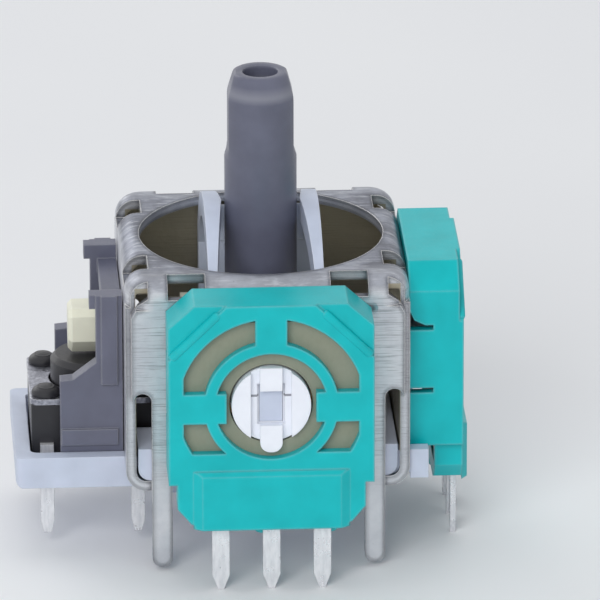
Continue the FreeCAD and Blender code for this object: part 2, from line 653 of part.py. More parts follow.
def make_bracket(doc, v):
    """The grey side bracket: two cheeks that stand in the tray, their uprights, plate, beam and ribs."""
    body = new_body(doc, "side_bracket")
    wall = v.frame_size / 2 + v.seat_gap
    half = v.bracket_half
    inner = half - v.cheek_thickness
    foot = v.tray_floor + v.seat_gap
    cheek = [(-wall, foot), (-wall, v.bracket_top), (-v.upright_reach, v.bracket_top),
             (-v.upright_reach, v.cheek_high), (-v.cheek_bend, v.cheek_bend_height),
             (-v.cheek_reach, v.cheek_low), (-v.cheek_reach, foot)]
    ledge_reach = v.cheek_reach - v.seat_gap
    ledge = rect(-ledge_reach, -v.rib_inner, v.ledge_low, v.ledge_high)
    rib = rect(-v.rib_reach, -v.rib_inner, v.rib_bottom, v.bracket_top)
    hook = rect(-v.hook_reach, -v.upright_reach, v.beam_top, v.bracket_top)
    for name, outline, near, far in (("Cheek", cheek, inner, half),
                                     ("Ledge", ledge, half, half + v.ledge_step),
                                     ("Rib", rib, half, half + v.ledge_step),
                                     ("Hook", hook, inner, half - v.hook_step)):
        add_solid(body, "Front" + name, "XZ_Plane", near, far, [outline])
        add_solid(body, "Back" + name, "XZ_Plane", -far, -near, [outline])
    plate = rect(-inner, inner, v.bracket_bottom, v.beam_top)
    opening = rect(-v.bracket_opening, v.bracket_opening, v.bracket_bottom, v.beam_bottom)
    add_solid(body, "Plate", "YZ_Plane", -wall - v.bracket_plate, -wall, [plate])
    cut_away(body, "PlateOpening", "YZ_Plane", -wall - v.bracket_plate - v.play, v.play - wall, [opening])
    add_solid(body, "Beam", "YZ_Plane", -v.beam_reach, -wall - v.bracket_plate,
              [rect(-inner, inner, v.beam_bottom, v.beam_top)])
    return body


def pot_back(v):
    """Distance of a potentiometer housing's back from the stick's axis."""
    return v.frame_size / 2 + v.seat_gap


def track_front(v):
    """Distance of a resistor board's front face from the stick's axis."""
    return pot_back(v) + v.track_depth


def flange_front(v):
    """Distance of a rotor flange's front face, behind the board, from the stick's axis."""
    return track_front(v) - v.track_thickness - v.wiper_room


def rotor_face(v):
    """Distance of a rotor's front from the stick's axis."""
    return pot_back(v) + v.rotor_length


def tongue_end(v):
    """Distance of a tongue's end from the stick's axis, just behind the rotor's latch tabs."""
    return rotor_face(v) - v.groove_depth - v.play


def pot_outline(v):
    """The outline of a potentiometer housing, seen from outside."""
    chamfer_end = v.pot_top - v.pot_chamfer_drop
    return both_ways([(v.pot_sole_half, ZERO), (v.pot_foot_narrow, v.pot_sole_rise),
                      (v.pot_foot_half, v.pot_foot_chamfer), (v.pot_foot_half, v.pot_shoulder),
                      (v.pot_half_width, v.pot_shoulder), (v.pot_half_width, chamfer_end),
                      (v.pot_top_half, v.pot_top)])


def make_housing(doc, v, label, turn):
    """A potentiometer housing with its windows, ring, spokes, terminal block, clip arms and pegs."""
    body = new_body(doc, label)
    back = pot_back(v)
    front = back + v.pot_depth
    face = front + v.pot_face_rise
    block = front + v.pot_block_rise
    track = track_front(v)
    add_solid(body, "Shell", "XZ_Plane", back, front, [pot_outline(v)])
    raised = both_ways([(v.pot_sole_half, ZERO), (v.pot_foot_narrow, v.pot_sole_rise),
                        (v.pot_foot_half, v.pot_foot_chamfer), (v.pot_foot_half, v.pot_shoulder),
                        (v.pot_half_width, v.pot_shoulder),
                        (v.pot_half_width, v.pot_top - v.pot_corner_drop), (v.pot_corner_half, v.pot_top)])
    add_solid(body, "Face", "XZ_Plane", front, face, [raised])
    side = v.pot_half_width + v.play
    cut_away(body, "FootBack", "XZ_Plane", back - v.play, v.pot_foot_back,
             [rect(-side, side, -v.play, v.pot_shoulder)])

    inside = v.pot_half_width - v.pot_wall
    foot_inside = v.track_foot_half + v.play
    recess = both_ways([(foot_inside, v.track_bottom - v.play), (foot_inside, v.track_step - v.play),
                        (inside, v.track_step - v.play), (inside, v.track_top + v.play)])
    cut_away(body, "TrackRecess", "XZ_Plane", back - v.sheet, track, [recess])
    cut_windows(body, v, track, face)

    base = v.block_half + v.block_flare
    add_solid(body, "TerminalBlock", "XY_Plane", ZERO, v.block_top,
              [[(-base, -face), (-v.block_half, -block), (v.block_half, -block), (base, -face)]])
    bevel_edges(body, "BlockBevel", edges_at(body.Shape, y=-block, z=v.block_top), v.block_bevel)
    terminals = v.pin_pitch + v.pin_width / 2 + v.play
    cut_away(body, "TerminalRecess", "XZ_Plane", track - v.play, track + v.pin_thickness + v.play,
             [rect(-terminals, terminals, -v.play, v.pin_top + v.play)])
    cut_clips(body, v, back, inside)
    add_solid(body, "Pegs", "XY_Plane", -v.peg_length, v.pot_sole_rise,
              [Disc(-v.peg_inner_place, -v.peg_depth, v.peg_radius),
               Disc(v.peg_place, -v.peg_depth, v.peg_radius)])
    body.Placement = turned(turn)
    return body


def cut_windows(body, v, track, face):
    """The four windows over the resistor board: one round opening with a sill, jambs, ring and spokes."""
    middle = v.pivot_height
    cut_away(body, "Window", "XZ_Plane", track - v.sheet, face + v.sheet,
             [Disc(ZERO, middle, v.window_radius)])
    low = middle - v.window_radius - v.play
    add_solid(body, "WindowSill", "XZ_Plane", track, face,
              [rect(-v.window_half, v.window_half, low, v.window_bottom)])
    far = v.window_radius + v.play
    add_solid(body, "Jambs", "XZ_Plane", track, face,
              [rect(v.window_half, far, v.window_bottom, middle + v.ring_inner),
               rect(-far, -v.window_half, v.window_bottom, middle + v.ring_inner)])
    add_solid(body, "TopSpoke", "XZ_Plane", track, face,
              [rect(-v.spoke_width / 2, v.spoke_width / 2, middle + v.ring_inner, middle + v.window_radius)])
    add_solid(body, "Ring", "XZ_Plane", track, face, [Disc(ZERO, middle, v.ring_outer)])
    cut_away(body, "RingBore", "XZ_Plane", track - v.sheet, face + v.sheet,
             [Disc(ZERO, middle, v.ring_inner)])
    add_solid(body, "SideSpokes", "XZ_Plane", track, face,
              [rect(v.side_spoke_inner, far, v.side_spoke_bottom, v.side_spoke_top),
               rect(-far, -v.side_spoke_inner, v.side_spoke_bottom, v.side_spoke_top)])


def cut_clips(body, v, back, inside):
    """The slits beside the clip arms in the side walls, and the rounded corner above each upper slit."""
    outside = v.pot_half_width + v.play
    slits = []
    for height in (v.clip_top, v.clip_bottom):
        slits.append(rect(inside - v.play, outside, height, height + v.clip_slit))
        slits.append(rect(-outside, v.play - inside, height, height + v.clip_slit))
    cut_away(body, "ClipSlits", "XZ_Plane", back - v.sheet, back + v.clip_reach, slits)
    edge = v.clip_top + v.clip_slit
    bend = v.clip_corner / 3
    far = -back - v.clip_corner
    corner = [(v.play - back, edge - v.play), (v.play - back, edge + v.clip_corner),
              (-back, edge + v.clip_corner), (-back - bend, edge + bend), (far, edge), (far, edge - v.play)]
    cut_away(body, "RightClipCorner", "YZ_Plane", inside - v.play, outside, [corner])
    cut_away(body, "LeftClipCorner", "YZ_Plane", -outside, v.play - inside, [corner])


def turned(degrees):
    """A placement turned about the stick's axis."""
    return FreeCAD.Placement(FreeCAD.Vector(0, 0, 0), FreeCAD.Rotation(FreeCAD.Vector(0, 0, 1), degrees))


def rivet_outlines(v):
    """The square outlines of the three rivets."""
    half = v.rivet_half
    return [rect(place - half, place + half, v.rivet_height - half, v.rivet_height + half)
            for place in (-v.pin_pitch, ZERO, v.pin_pitch)]


def make_track(doc, v, label, turn):
    """The resistor board of a potentiometer, with its rotor hole and rivet holes."""
    body = new_body(doc, label)
    front = track_front(v)
    back = front - v.track_thickness
    outline = both_ways([(v.track_foot_half, v.track_bottom), (v.track_foot_half, v.track_step),
                         (v.track_half, v.track_step), (v.track_half, v.track_top)])
    add_solid(body, "Sheet", "XZ_Plane", back, front, [outline])
    holes = [Disc(ZERO, v.pivot_height, v.rotor_radius + v.play)]
    cut_away(body, "Holes", "XZ_Plane", back - v.play, front + v.play, holes + rivet_outlines(v))
    body.Placement = turned(turn)
    return body


def tapered_strip(middle, width, top, tip, taper, end_width):
    """The outline of a flat pin with a tapered end."""
    return [(middle - width / 2, top), (middle - width / 2, tip + taper), (middle - end_width / 2, tip),
            (middle + end_width / 2, tip), (middle + width / 2, tip + taper), (middle + width / 2, top)]


def make_pins(doc, v, label, turn):
    """The three flat pins of a potentiometer."""
    body = new_body(doc, label)
    strips = [tapered_strip(place, v.pin_width, v.pin_top, -v.pin_length, v.pin_point, v.pin_point_width)
              for place in (-v.pin_pitch, ZERO, v.pin_pitch)]
    near = track_front(v)
    far = near + v.pin_thickness
    add_solid(body, "Strips", "XZ_Plane", near, far, strips)
    cut_away(body, "RivetHoles", "XZ_Plane", near - v.play, far + v.play, rivet_outlines(v))
    body.Placement = turned(turn)
    return body


def make_rivets(doc, v, label, turn):
    """The three rivets that hold the pins on the resistor board."""
    body = new_body(doc, label)
    front = track_front(v)
    back = front - v.track_thickness
    add_solid(body, "Shanks", "XZ_Plane", back, front + v.pin_thickness, rivet_outlines(v))
    body.Placement = turned(turn)
    return body


def make_rotor(doc, v, label, turn):
    """A white rotor: hub, inner flange, groove across its face, tongue slot and two latch tabs."""
    body = new_body(doc, label)
    middle = v.pivot_height
    back = pot_back(v) + v.seat_gap
    step = flange_front(v)
    face = rotor_face(v)
    add_solid(body, "Flange", "XZ_Plane", back, step, [Disc(ZERO, middle, v.rotor_flange)])
    add_solid(body, "Hub", "XZ_Plane", step, face, [Disc(ZERO, middle, v.rotor_radius)])
    groove = v.rotor_groove / 2
    high = v.rotor_radius + v.play
    cut_away(body, "Groove", "XZ_Plane", face - v.groove_depth, face + v.play,
             [rect(-groove, groove, middle - high, middle + high)])
    slot = v.tongue_width / 2 + v.play
    slot_high = v.tongue_height / 2 + v.play
    cut_away(body, "TongueSlot", "XZ_Plane", back - v.play, face + v.play,
             [rect(-slot, slot, middle - slot_high, middle + slot_high)])
    tab = v.latch_width / 2
    tab_back = face - v.groove_depth
    add_solid(body, "UpperTab", "XZ_Plane", tab_back, face,
              [rect(-tab, tab, middle + v.latch_inner, middle + v.rotor_radius)])
    tab_end = middle - v.rotor_radius - v.latch_overhang
    add_solid(body, "LowerTab", "XZ_Plane", tab_back, face, [rect(-tab, tab, tab_end, middle - slot_high)])
    ends = edges_at(body.Shape, x=tab, z=tab_end) + edges_at(body.Shape, x=-tab, z=tab_end)
    round_edges(body, "TabEnd", ends, v.latch_rounding)
    body.Placement = turned(turn)
    return body


def make_wiper(doc, v, label, turn):
    """The sprung wiper of a potentiometer: a ring on the rotor's flange with two contact fingers."""
    body = new_body(doc, label)
    middle = v.pivot_height
    back = flange_front(v)
    front = back + v.wiper_thickness
    add_solid(body, "Ring", "XZ_Plane", back, front,
              [Disc(ZERO, middle, v.rotor_flange), Disc(ZERO, middle, v.rotor_radius + v.play / 2)])
    finger = v.finger_width / 2
    inner = v.rotor_radius + v.play
    add_solid(body, "Fingers", "XZ_Plane", back, front,
              [rect(inner + v.play, v.wiper_radius, middle - finger, middle + finger),
               rect(-v.wiper_radius, -inner - v.play, middle - finger, middle + finger)])
    contact = v.wiper_radius - v.wiper_width / 2
    add_solid(body, "Contacts", "XZ_Plane", front, front + v.finger_rise,
              [rect(contact, v.wiper_radius, middle - finger, middle + finger),
               rect(-v.wiper_radius, -contact, middle - finger, middle + finger)])
    body.Placement = turned(turn)
    return body


def make_arch(doc, v):
    """The upper arch: a slotted bail over the stick, two legs, a shaft at each end and the front tongue."""
    body = new_body(doc, "upper_arch")
    middle = v.pivot_height
    half = v.arch_half
    inner = v.arch_radius - v.arch_thickness
    add_solid(body, "Disc", "YZ_Plane", -half, half, [Disc(ZERO, middle, v.arch_radius)])
    beyond = v.arch_radius + v.play
    cut_away(body, "LowerHalf", "YZ_Plane", -half - v.play, half + v.play,
             [rect(-beyond, beyond, middle - beyond, middle)])
    cut_away(body, "Inside", "YZ_Plane", -half - v.play, half + v.play, [Disc(ZERO, middle, inner)])
    top = middle + beyond
    cut_away(body, "Ends", "YZ_Plane", -half - v.play, half + v.play,
             [rect(v.arch_reach, beyond, middle - v.play, top),
              rect(-beyond, -v.arch_reach, middle - v.play, top)])
    leg_inner = v.arch_reach - v.arch_leg
    foot = middle - half
    leg_top = middle + v.arch_leg_top
    add_solid(body, "Legs", "YZ_Plane", -half, half,
              [rect(leg_inner, v.arch_reach, foot, leg_top), rect(-v.arch_reach, -leg_inner, foot, leg_top)])
    slot = v.arch_slot / 2
    wide = v.arch_slot_end / 2
    slot_end = v.arch_slot_length / 2
    cut_away(body, "StickSlot", "XY_Plane", middle + v.arch_leg_top - v.arch_leg, top,
             [[(-wide, -slot_end), (wide, -slot_end), (slot, ZERO), (wide, slot_end), (-wide, slot_end),
               (-slot, ZERO)]])
    corners = edges_at(body.Shape, x=half, z=foot) + edges_at(body.Shape, x=-half, z=foot)
    round_edges(body, "LegEnds", corners, v.arch_half - v.play)
    shaft_end = v.frame_size / 2 + v.seat_gap
    shaft = [Disc(ZERO, middle, v.shaft_radius)]
    add_solid(body, "FrontShaft", "XZ_Plane", v.arch_reach, shaft_end, shaft)
    add_solid(body, "BackShaft", "XZ_Plane", -shaft_end - v.play, -v.arch_reach, shaft)
    tongue = v.tongue_width / 2
    tongue_high = v.tongue_height / 2
    add_solid(body, "Tongue", "XZ_Plane", shaft_end, tongue_end(v),
              [rect(-tongue, tongue, middle - tongue_high, middle + tongue_high)])
    return body


def make_gimbal(doc, v):
    """The lower gimbal: a cage round the stick, a shaft with a rounded tongue, and an arm at the left."""
    body = new_body(doc, "lower_gimbal")
    middle = v.pivot_height
    length = v.gimbal_half_length
    width = v.gimbal_half_width
    height = v.gimbal_half_height
    add_solid(body, "Cage", "XY_Plane", middle - height, middle + height,
              [rect(-length, length, -width, width)])
    shaft_end = v.frame_size / 2 + v.seat_gap
    shaft = [Disc(ZERO, middle, v.shaft_radius)]
    add_solid(body, "RightShaft", "YZ_Plane", length - v.play, shaft_end, shaft)
    tongue = v.tongue_width / 2
    tongue_high = v.tongue_height / 2
    rocker = tongue_end(v) - tongue_high
    add_solid(body, "Tongue", "YZ_Plane", shaft_end, rocker,
              [rect(-tongue, tongue, middle - tongue_high, middle + tongue_high)])
    add_solid(body, "Rocker", "XZ_Plane", -tongue, tongue, [Disc(rocker, middle, tongue_high)])
    add_solid(body, "LeftArm", "YZ_Plane", -v.keel_start, v.play - length,
              [Disc(ZERO, middle, v.arm_radius)])
    keel = middle - v.keel_drop
    slope = v.arm_half_width - v.keel_half
    arm = both_ways([(v.keel_half, keel), (v.arm_half_width, keel + slope),
                     (v.arm_half_width, middle + v.arm_rise)])
    add_solid(body, "Keel", "YZ_Plane", -v.head_inner, -v.keel_start, [arm])
    head_slope = v.head_half - v.keel_half
    head = both_ways([(v.keel_half, keel), (v.head_half, keel + head_slope),
                      (v.head_half, middle + v.head_rise - v.head_rounding),
                      (v.head_half - v.head_rounding, middle + v.head_rise)])
    add_solid(body, "Head", "YZ_Plane", -v.head_outer, -v.head_inner, [head])
    bevel_edges(body, "HeadEdge", edges_at(body.Shape, x=-v.head_outer), v.head_edge)
    opening = v.cage_opening / 2
    side = v.stick_radius + v.cage_gap
    cut_away(body, "CageOpening", "XY_Plane", middle - height - v.play, middle + height + v.play,
             [rect(-opening, opening, -side, side)])
    cut_away(body, "TrunnionHoles", "XZ_Plane", -width - v.play, width + v.play,
             [Disc(ZERO, middle, v.trunnion_radius + v.play)])
    return body


def make_stick(doc, v):
    """The grey stick: a round post with two flats and a hole at its top, and trunnions at its pivot."""
    body = new_body(doc, "stick")
    middle = v.pivot_height
    radius = v.stick_radius
    add_solid(body, "Post", "XY_Plane", middle - v.stick_tail, v.stick_top, [Disc(ZERO, ZERO, radius)])
    bevel_edges(body, "Tail", edges_at(body.Shape, z=middle - v.stick_tail), v.tail_rounding)
    flat = v.stick_flats / 2
    beyond = radius + v.play
    cut_away(body, "Flats", "XY_Plane", v.flats_start, v.stick_top + v.play,
             [rect(flat, beyond, -beyond, beyond), rect(-beyond, -flat, -beyond, beyond)])
    round_edges(body, "Crown", edges_at(body.Shape, z=v.stick_top), v.stick_chamfer)
    cut_away(body, "TopHole", "XY_Plane", v.stick_top - v.stick_hole_depth, v.stick_top + v.play,
             [Disc(ZERO, ZERO, v.stick_hole / 2)])
    add_solid(body, "Trunnions", "XZ_Plane", -v.trunnion_reach, v.trunnion_reach,
              [Disc(ZERO, middle, v.trunnion_radius)])
    return body


def make_spring_seat(doc, v):
    """The spring seat: a disc with a hub, on the floor of the base's well."""
    body = new_body(doc, "spring_seat")
    top = v.base_floor + v.spring_seat_thickness
    add_solid(body, "Disc", "XY_Plane", v.base_floor, top, [Disc(ZERO, ZERO, v.spring_seat_radius)])
    add_solid(body, "Hub", "XY_Plane", top, v.base_floor + v.hub_height, [Disc(ZERO, ZERO, v.hub_radius)])
    cut_away(body, "Bore", "XY_Plane", v.base_floor - v.play, v.base_floor + v.hub_height + v.play,
             [Disc(ZERO, ZERO, v.hub_bore / 2)])
    return body


def make_spring(doc, v):
    """The return spring: half turns of six-sided wire, each leaning so that the next one goes on from it."""
    wire = v.spring_wire.value / 2
    radius = v.spring_radius.value
    low = v.base_floor.value + v.spring_seat_thickness.value + wire + v.seat_gap.value
    high = v.pivot_height.value - v.gimbal_half_height.value - wire - v.seat_gap.value
    count = int(v.spring_half_turns.value)
    climb = (high - low) / count
    upright = FreeCAD.Vector(0, 0, 1)
    corners = []
    for step in range(WIRE_SIDES):
        turn = FreeCAD.Rotation(FreeCAD.Vector(0, 1, 0), step * FULL_TURN / WIRE_SIDES)
        corners.append(FreeCAD.Vector(radius, 0, low) + turn.multVec(upright * wire))
    section = Part.Face(Part.makePolygon(corners + corners[:1]))
    halves = []
    lean = climb / 2
    for number in range(count):
        centre = FreeCAD.Vector(0, 0, low + climb * (number + 1 / 2))
        axis = FreeCAD.Vector(lean, 0, radius)
        halves.append(section.revolve(centre, axis, FULL_TURN / 2))
        section = section.rotated(centre, axis, FULL_TURN / 2)
        lean = -lean
    piece = doc.addObject("Part::Feature", "return_spring")
    piece.Label = "return_spring"
    piece.Shape = halves[0].fuse(halves[1:])
    piece.Placement = FreeCAD.Placement()
    return piece


def switch_corners(v, place):
    """Four points round the switch's middle."""
    return [(x - v.switch_place, y) for x in (place, -place) for y in (place, -place)]


def make_switch_body(doc, v):
    """The switch's moulded body with its well and four staked posts."""
    body = new_body(doc, "switch_body")
    half = v.switch_size / 2
    top = v.switch_top - v.cover_thickness
    left = -v.switch_place - half
    add_solid(body, "Block", "XY_Plane", v.tray_floor, top, [rect(left, half - v.switch_place, -half, half)])
    well = [Disc(-v.switch_place, ZERO, v.switch_well)]
    cut_away(body, "Well", "XY_Plane", v.well_floor, top + v.play, well)
    add_solid(body, "Necks", "XY_Plane", top, v.switch_top,
              [Disc(x, y, v.stake_neck) for x, y in switch_corners(v, v.stake_place)])
    head_top = v.switch_top + v.stake_height
    add_solid(body, "Heads", "XY_Plane", v.switch_top, head_top,
              [Disc(x, y, v.stake_radius) for x, y in switch_corners(v, v.stake_place)])
    bevel_edges(body, "HeadBevels", edges_at(body.Shape, z=head_top), v.stake_bevel)
    return body


def make_switch_cover(doc, v):
    """The switch's stamped cover with holes for the plunger and the posts."""
    body = new_body(doc, "switch_cover")
    half = v.switch_size / 2 + v.cover_overhang
    low = v.switch_top - v.cover_thickness
    left = -v.switch_place - half
    right = half - v.switch_place
    add_solid(body, "Plate", "XY_Plane", low, v.switch_top, [rect(left, right, -half, half)])
    corners = []
    for x in (left, right):
        corners += edges_at(body.Shape, x=x, y=half) + edges_at(body.Shape, x=x, y=-half)
    round_edges(body, "Corners", corners, v.cover_rounding)
    holes = [Disc(x, y, v.stake_neck) for x, y in switch_corners(v, v.stake_place)]
    holes.append(Disc(-v.switch_place, ZERO, v.plunger_radius + v.play))
    cut_away(body, "Holes", "XY_Plane", low - v.play, v.switch_top + v.play, holes)
    return body


def make_plunger(doc, v):
    """The switch's plunger: a round stem with a flange held under the cover."""
    body = new_body(doc, "switch_plunger")
    flange_top = v.switch_top - v.cover_thickness - v.seat_gap
    flange_low = flange_top - v.flange_height
    centre = -v.switch_place
    add_solid(body, "Flange", "XY_Plane", flange_low, flange_top, [Disc(centre, ZERO, v.plunger_flange)])
    add_solid(body, "Stem", "XY_Plane", flange_top, v.plunger_top, [Disc(centre, ZERO, v.plunger_radius)])
    bevel_edges(body, "StemEdge", edges_at(body.Shape, z=v.plunger_top), v.plunger_edge)
    nib_end = v.well_floor + v.dome_height + v.plunger_travel + v.seat_gap
    add_solid(body, "Nib", "XY_Plane", nib_end, flange_low, [Disc(centre, ZERO, v.nib_radius)])
    return body


def add_cone(doc, v, name, base, crown, height):
    """A cone frustum on the well's floor, tied to the spreadsheet."""
    cone = doc.addObject("Part::Cone", name)
    for field, size in (("Radius1", base), ("Radius2", crown), ("Height", height),
                        ("Placement.Base.x", -v.switch_place), ("Placement.Base.z", v.well_floor)):
        cone.setExpression(field, size.text)
    return cone


def make_dome(doc, v):
    """The switch's contact dome: a thin cap with a flat crown and a sloping rim in the well."""
    inner_height = v.dome_height - v.dome_sheet
    run = (v.dome_radius - v.dome_crown) * inner_height / v.dome_height
    rim = v.dome_radius - v.dome_slope
    outer = add_cone(doc, v, "DomeOutside", v.dome_radius, v.dome_crown, v.dome_height)
    inner = add_cone(doc, v, "DomeInside", rim, rim - run, inner_height)
    piece = doc.addObject("Part::Cut", "switch_dome")
    piece.Label = "switch_dome"
    piece.Base = outer
    piece.Tool = inner
    doc.recompute()
    return piece


def make_leads(doc, v):
    """The switch's four flat leads, two on its front and two on its back."""
    body = new_body(doc, "switch_leads")
    strips = [tapered_strip(x, v.lead_width, v.lead_top, -v.lead_length, v.lead_taper, v.lead_end_width)
              for x in (-v.switch_place - v.lead_place, v.lead_place - v.switch_place)]
    near = v.switch_size / 2
    far = near + v.lead_thickness
    add_solid(body, "FrontLeads", "XZ_Plane", near, far, strips)
    add_solid(body, "BackLeads", "XZ_Plane", -far, -near, strips)
    return body


def build(doc):
    """All the pieces, in the order in which they are put together."""
    v = make_sheet(doc)
    pieces = [make_frame(doc, v), make_base(doc, v), make_bracket(doc, v)]
    for side, turn in (("front", 0), ("side", 90)):
        pieces.append(make_housing(doc, v, side + "_pot_housing", turn))
        pieces.append(make_track(doc, v, side + "_pot_board", turn))
        pieces.append(make_pins(doc, v, side + "_pot_pins", turn))
        pieces.append(make_rivets(doc, v, side + "_pot_rivets", turn))
        pieces.append(make_rotor(doc, v, side + "_rotor", turn))
        pieces.append(make_wiper(doc, v, side + "_wiper", turn))
    pieces += [make_arch(doc, v), make_gimbal(doc, v), make_stick(doc, v)]
    pieces += [make_spring_seat(doc, v), make_spring(doc, v)]
    pieces += [make_switch_body(doc, v), make_switch_cover(doc, v), make_plunger(doc, v)]
    pieces += [make_dome(doc, v), make_leads(doc, v)]
    return pieces


def check(doc, pieces):
    """Stops if any object of the document failed or any piece has no sound solid."""
    for item in doc.Objects:
        if "Invalid" in item.State or "Error" in item.State:
            raise ValueError(f"{item.Label} failed: {item.State}")
    for piece in pieces:
        shape = piece.Shape
        if shape.isNull() or not shape.isValid() or not shape.Solids:
            raise ValueError(f"{piece.Label} is not a sound solid")


def main():
    """Builds the document, checks it and writes one file for each piece."""
    doc = FreeCAD.newDocument("AnalogStick")
    pieces = build(doc)
    doc.recompute()
    check(doc, pieces)
    os.makedirs(OUTPUT, exist_ok=True)
    for piece in pieces:
        piece.Shape.exportStep(os.path.join(OUTPUT, piece.Label + ".step"))
        print(piece.Label, len(piece.Shape.Solids), round(piece.Shape.Volume, 3))


main()
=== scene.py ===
"""Looks of the analog stick module: materials, small trim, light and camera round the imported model.

Blender works in metres, in the same frame as the solids: X to the right, Y to the back, Z up.
Shapes, masks and noises are given here in millimetres; lamps, floor and camera limits in metres.
"""
import json
import math

import bmesh
import bpy
from mathutils import Matrix, Vector


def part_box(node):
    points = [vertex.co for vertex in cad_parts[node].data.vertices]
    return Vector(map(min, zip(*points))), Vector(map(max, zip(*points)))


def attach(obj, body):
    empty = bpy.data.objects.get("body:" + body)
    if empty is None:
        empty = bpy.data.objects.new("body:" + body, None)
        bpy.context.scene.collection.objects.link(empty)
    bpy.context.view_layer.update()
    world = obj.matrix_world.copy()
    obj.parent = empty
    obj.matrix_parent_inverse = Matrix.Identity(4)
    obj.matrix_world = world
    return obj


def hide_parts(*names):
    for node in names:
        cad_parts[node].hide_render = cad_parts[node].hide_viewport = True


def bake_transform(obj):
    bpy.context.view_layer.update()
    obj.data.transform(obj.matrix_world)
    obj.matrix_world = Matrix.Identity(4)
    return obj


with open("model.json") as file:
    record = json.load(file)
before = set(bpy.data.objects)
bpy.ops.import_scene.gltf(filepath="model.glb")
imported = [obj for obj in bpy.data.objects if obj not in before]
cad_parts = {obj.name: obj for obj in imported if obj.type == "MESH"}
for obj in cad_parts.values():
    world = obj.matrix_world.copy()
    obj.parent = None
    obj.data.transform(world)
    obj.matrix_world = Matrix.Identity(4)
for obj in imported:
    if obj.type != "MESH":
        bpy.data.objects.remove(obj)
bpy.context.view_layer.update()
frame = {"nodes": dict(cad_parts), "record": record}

MM = 0.001
FULL_TURN = 2 * math.pi

# Camera fitted to the photograph
AZIMUTH = math.radians(-3.239)
ELEVATION = math.radians(20.58)
ROLL = math.radians(-0.091)
CAMERA_PLACE = Vector((-25.515, -485.323, 190.750)) * MM
FOCAL_PIXELS = 10448.04
IMAGE_PIXELS = 600
SENSOR = 36.0  # Blender's sensor width, in its own millimetres
CLIP_START, CLIP_END = 0.05, 20.0

# Light
CENTRE = (0, 0, 7 * MM)
AMBIENT_COLOUR, AMBIENT_STRENGTH = (0.92, 0.96, 1.0, 1), 0.42
SEEN_COLOUR, SEEN_STRENGTH = (1, 1, 1, 1), 0.9
LAMPS = (  # name, place, size, power, whether metal mirrors it
    ("key", (-0.16, -0.42, 0.26), 0.28, 1.3, False),
    ("fill", (0.34, -0.30, 0.20), 0.30, 0.06, True),
    ("top", (0.0, 0.10, 0.50), 0.35, 0.6, False),
    ("back", (-0.25, 0.40, 0.25), 0.30, 0.4, True),
)

BEVEL_SAMPLES = 4
MIX_SHARE, MIX_FIRST, MIX_SECOND, MIX_RESULT = 0, 6, 7, 2  # the Mix node's sockets for colours
NOISE_RANGE = (0.3, 0.7)  # where most of a noise's values lie
PIVOT_HEIGHT = 6.35  # of both tilt axes
SHARP_ANGLE = math.radians(32)  # faces of a lofted piece that meet more steeply keep their edge


def rgb(red, green, blue):
    """A colour given as it looks on a screen, from 0 to 255, as linear light."""
    linear = []
    for part in (red, green, blue):
        share = part / 255
        linear.append(share / 12.92 if share <= 0.04045 else ((share + 0.055) / 1.055) ** 2.4)
    return linear + [1.0]


